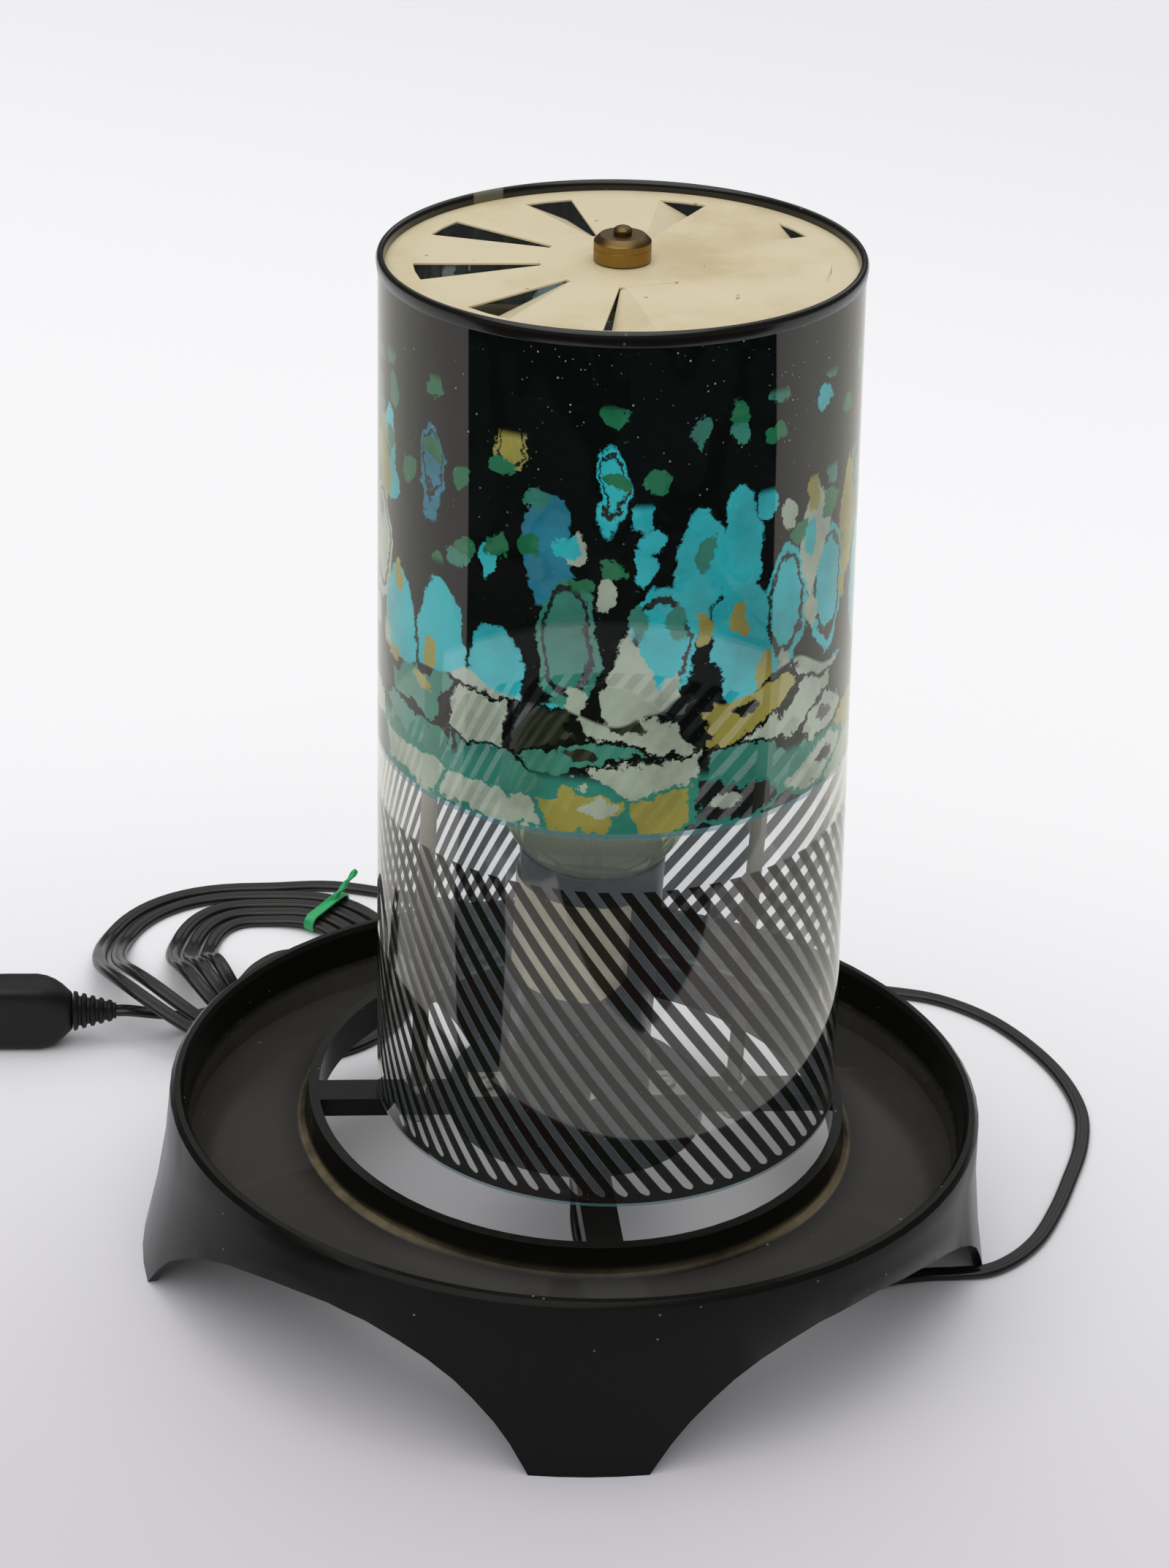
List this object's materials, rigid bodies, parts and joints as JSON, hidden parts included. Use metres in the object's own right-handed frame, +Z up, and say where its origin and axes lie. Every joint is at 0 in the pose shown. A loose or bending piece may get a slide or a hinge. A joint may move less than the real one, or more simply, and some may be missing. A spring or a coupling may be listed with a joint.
{
  "type": "motion lamp",
  "caption": "Heat-driven motion lamp: a clear printed drum with a vaned top turns on a needle over a bulb, on a black four-footed oval base with its cord and plug.",
  "frame": {"origin": "on the table under the middle of the oval base", "axes": "+Z up along the lamp, +X along the base's longer axis, -Y to the front"},
  "size_m": [0.411, 0.3516, 0.3447],
  "materials": {
    "base": "glossy black moulding, scuffed",
    "yoke": "cream enamel",
    "needle": "polished steel",
    "drum_film": "clear sheet with a printed picture and stripes",
    "drum_rim": "glossy black",
    "turbine": "cream enamel",
    "cap": "turned brass",
    "jewel": "polished glass",
    "saddle": "plated steel strap",
    "nipple": "dark plated steel",
    "holder_shell": "black moulding",
    "insulator": "white ceramic",
    "screw_shell": "pressed brass",
    "label": "aged cream paper",
    "bulb_glass": "clear glass",
    "bulb_cap": "pressed brass",
    "bulb_contact": "solder",
    "filament": "tungsten wire",
    "cord": "black cord, slightly glossy",
    "tie": "green paper-covered wire",
    "plug": "black moulding",
    "blades": "bare brass",
    "fasteners": "plated steel"
  },
  "bodies": {
    "base": {"base_moulding": "base", "yoke": "yoke", "pivot_needle": "needle", "holder_saddle": "saddle", "threaded_nipple": "nipple", "nipple_locknut": "nipple", "lampholder_shell": "holder_shell", "lampholder_insulator": "insulator", "lampholder_screw_shell": "screw_shell", "lampholder_contact": "screw_shell", "holder_label": "label", "cord_lead": "cord", "cord_hank": "cord", "cord_tail": "cord", "hank_tie": "tie", "plug_strain_relief": "plug", "plug_body": "plug", "plug_blade_upper": "blades", "plug_blade_lower": "blades", "yoke_nut_left_upper": "fasteners", "yoke_nut_left_lower": "fasteners", "yoke_nut_right_upper": "fasteners", "yoke_nut_right_lower": "fasteners", "saddle_screw_left": "fasteners", "saddle_screw_right": "fasteners", "saddle_nut_left": "fasteners", "saddle_nut_right": "fasteners"},
    "drum_lift": {"bearing_jewel": "jewel"},
    "drum": {"drum_tube": "drum_film", "drum_rim": "drum_rim", "turbine_disc": "turbine", "bearing_cap": "cap"},
    "bulb_lift": {"bulb_contact": "bulb_contact"},
    "bulb": {"bulb_glass": "bulb_glass", "bulb_cap": "bulb_cap", "bulb_stem": "bulb_glass", "bulb_filament": "filament"}
  },
  "joints": [
    {"name": "drum_lift_off", "type": "slide", "parent": "base", "child": "drum_lift", "axis": [-0.0457, 0, 0.999], "range_m": [0, 0.28]},
    {"name": "drum_spin", "type": "hinge", "parent": "drum_lift", "child": "drum", "pos_m": [-0.0034, 0, 0.3385], "axis": [-0.0457, 0, 0.999], "continuous": true},
    {"name": "bulb_rise", "type": "slide", "parent": "base", "child": "bulb_lift", "axis": [0, 0, 1], "range_m": [0, 0.022]},
    {"name": "bulb_turn", "type": "hinge", "parent": "bulb_lift", "child": "bulb", "pos_m": [0, 0, 0.0959], "axis": [0, 0, 1], "range_deg": [0, 2160]}
  ],
  "couplings": [
    {"joint": "bulb_rise", "follows": "bulb_turn", "m_per_rad": 0.00057757}
  ]
}
